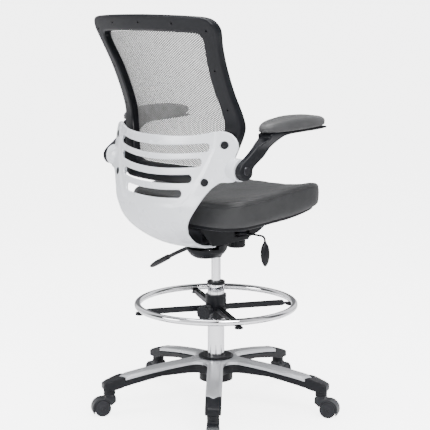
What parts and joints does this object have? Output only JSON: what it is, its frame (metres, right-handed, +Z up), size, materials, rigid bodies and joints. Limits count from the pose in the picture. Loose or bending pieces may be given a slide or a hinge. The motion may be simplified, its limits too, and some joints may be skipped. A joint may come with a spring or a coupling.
{
  "type": "drafting chair",
  "caption": "Drafting chair: caster star base, sliding chrome foot ring, gas lift, tilting padded seat, curved mesh back in a slotted shell and flip-up padded arms.",
  "frame": {"origin": "centre of the bounding box at floor level", "axes": "+Z up, the sitter faces -Y, the sitter's left is +X"},
  "size_m": [0.7281, 0.7225, 1.1683],
  "materials": {
    "black_nylon": "satin",
    "caster_nylon": "satin",
    "chrome": "mirror",
    "dark_steel": "satin",
    "silver_cover": "satin metallic",
    "pearl_shell": "gloss",
    "seat_vinyl": "satin",
    "arm_vinyl": "satin",
    "back_mesh": "matte"
  },
  "bodies": {
    "base": {"base_star": "black_nylon", "base_cover": "silver_cover", "hub_collar": "black_nylon", "column_tube": "chrome", "column_bushing": "black_nylon"},
    "caster_1": {"caster_1_body": "caster_nylon", "caster_1_stem": "dark_steel"},
    "caster_1_wheels": {"caster_1_wheel_left": "caster_nylon", "caster_1_wheel_right": "caster_nylon"},
    "caster_2": {"caster_2_body": "caster_nylon", "caster_2_stem": "dark_steel"},
    "caster_2_wheels": {"caster_2_wheel_left": "caster_nylon", "caster_2_wheel_right": "caster_nylon"},
    "caster_3": {"caster_3_body": "caster_nylon", "caster_3_stem": "dark_steel"},
    "caster_3_wheels": {"caster_3_wheel_left": "caster_nylon", "caster_3_wheel_right": "caster_nylon"},
    "caster_4": {"caster_4_body": "caster_nylon", "caster_4_stem": "dark_steel"},
    "caster_4_wheels": {"caster_4_wheel_left": "caster_nylon", "caster_4_wheel_right": "caster_nylon"},
    "caster_5": {"caster_5_body": "caster_nylon", "caster_5_stem": "dark_steel"},
    "caster_5_wheels": {"caster_5_wheel_left": "caster_nylon", "caster_5_wheel_right": "caster_nylon"},
    "foot_ring": {"foot_ring": "chrome", "foot_ring_spider": "black_nylon", "ring_screw_1": "black_nylon", "ring_screw_2": "black_nylon", "ring_screw_3": "black_nylon", "ring_screw_4": "black_nylon"},
    "clamp_knob": {"clamp_knob": "black_nylon"},
    "gas_piston": {"gas_piston": "chrome"},
    "mechanism": {"mechanism_housing": "dark_steel", "cone_socket": "black_nylon"},
    "tension_knob": {"tension_knob": "black_nylon"},
    "height_lever": {"height_lever": "black_nylon"},
    "lock_lever": {"lock_lever": "black_nylon"},
    "seat_unit": {"seat_bracket": "dark_steel", "tilt_axle": "dark_steel", "mechanism_cover": "black_nylon", "seat_pan": "black_nylon", "mechanism_skirt": "black_nylon", "seat_cushion": "seat_vinyl", "back_shell": "pearl_shell", "back_frame": "black_nylon", "back_mesh": "back_mesh", "back_bolt_upper_left": "black_nylon", "back_bolt_upper_right": "black_nylon", "back_bolt_lower_left": "black_nylon", "back_bolt_lower_right": "black_nylon", "arm_pin_left": "dark_steel", "arm_pin_right": "dark_steel"},
    "arm_left": {"arm_link_left": "black_nylon", "arm_pad_left": "arm_vinyl"},
    "arm_right": {"arm_link_right": "black_nylon", "arm_pad_right": "arm_vinyl"}
  },
  "joints": [
    {"name": "caster_1_swivel", "type": "hinge", "parent": "base", "child": "caster_1", "pos_m": [0.14203, 0.30585, 0.06], "axis": [0, 0, 1], "continuous": true},
    {"name": "caster_1_roll", "type": "hinge", "parent": "caster_1", "child": "caster_1_wheels", "pos_m": [0.15297, 0.32608, 0.0245], "axis": [-0.8796, 0.4756, 0], "continuous": true},
    {"name": "caster_2_swivel", "type": "hinge", "parent": "base", "child": "caster_2", "pos_m": [-0.23901, 0.255, 0.06], "axis": [0, 0, 1], "continuous": true},
    {"name": "caster_2_roll", "type": "hinge", "parent": "caster_2", "child": "caster_2_wheels", "pos_m": [-0.25487, 0.27166, 0.0245], "axis": [-0.7242, -0.6896, 0], "continuous": true},
    {"name": "caster_3_swivel", "type": "hinge", "parent": "base", "child": "caster_3", "pos_m": [-0.3084, -0.12309, 0.06], "axis": [0, 0, 1], "continuous": true},
    {"name": "caster_3_roll", "type": "hinge", "parent": "caster_3", "child": "caster_3_wheels", "pos_m": [-0.32914, -0.13303, 0.0245], "axis": [0.4321, -0.9018, 0], "continuous": true},
    {"name": "caster_4_swivel", "type": "hinge", "parent": "base", "child": "caster_4", "pos_m": [0.02975, -0.30593, 0.06], "axis": [0, 0, 1], "continuous": true},
    {"name": "caster_4_roll", "type": "hinge", "parent": "caster_4", "child": "caster_4_wheels", "pos_m": [0.03279, -0.32873, 0.0245], "axis": [0.9912, 0.1323, 0], "continuous": true},
    {"name": "caster_5_swivel", "type": "hinge", "parent": "base", "child": "caster_5", "pos_m": [0.30813, -0.04083, 0.06], "axis": [0, 0, 1], "continuous": true},
    {"name": "caster_5_roll", "type": "hinge", "parent": "caster_5", "child": "caster_5_wheels", "pos_m": [0.33075, -0.04498, 0.0245], "axis": [0.1805, 0.9836, 0], "continuous": true},
    {"name": "foot_ring_slide", "type": "slide", "parent": "base", "child": "foot_ring", "axis": [0, 0, 1], "range_m": [-0.09, 0.026]},
    {"name": "clamp_knob_turn", "type": "hinge", "parent": "foot_ring", "child": "clamp_knob", "pos_m": [-0.02728, 0.06626, 0.3], "axis": [-0.2756, 0.9613, 0], "range_deg": [0, 360]},
    {"name": "gas_lift", "type": "slide", "parent": "base", "child": "gas_piston", "axis": [0, 0, 1], "range_m": [-0.06, 0.12]},
    {"name": "seat_swivel", "type": "hinge", "parent": "gas_piston", "child": "mechanism", "pos_m": [-0.0135, 0.0182, 0.47], "axis": [0, 0, 1], "continuous": true},
    {"name": "tension_knob_turn", "type": "hinge", "parent": "mechanism", "child": "tension_knob", "pos_m": [-0.0135, -0.0678, 0.48], "axis": [0, 0, 1], "range_deg": [-360, 360]},
    {"name": "height_lever_lift", "type": "hinge", "parent": "mechanism", "child": "height_lever", "pos_m": [-0.0541, -0.0098, 0.524], "axis": [0, 1, 0], "range_deg": [0, 6], "stiffness_Nm_per_rad": 1, "springref_deg": -8.59},
    {"name": "lock_lever_lift", "type": "hinge", "parent": "mechanism", "child": "lock_lever", "pos_m": [0.0271, 0.0112, 0.4955], "axis": [0, -1, 0], "range_deg": [0, 5]},
    {"name": "seat_tilt", "type": "hinge", "parent": "mechanism", "child": "seat_unit", "pos_m": [-0.0135, -0.0418, 0.519], "axis": [-1, 0, 0], "range_deg": [0, 10], "stiffness_Nm_per_rad": 150, "springref_deg": -17.19},
    {"name": "arm_left_flip", "type": "hinge", "parent": "seat_unit", "child": "arm_left", "pos_m": [0.2585, 0.1852, 0.753], "axis": [-1, 0, 0], "range_deg": [0, 90]},
    {"name": "arm_right_flip", "type": "hinge", "parent": "seat_unit", "child": "arm_right", "pos_m": [-0.2855, 0.1852, 0.753], "axis": [-1, 0, 0], "range_deg": [0, 90]}
  ]
}
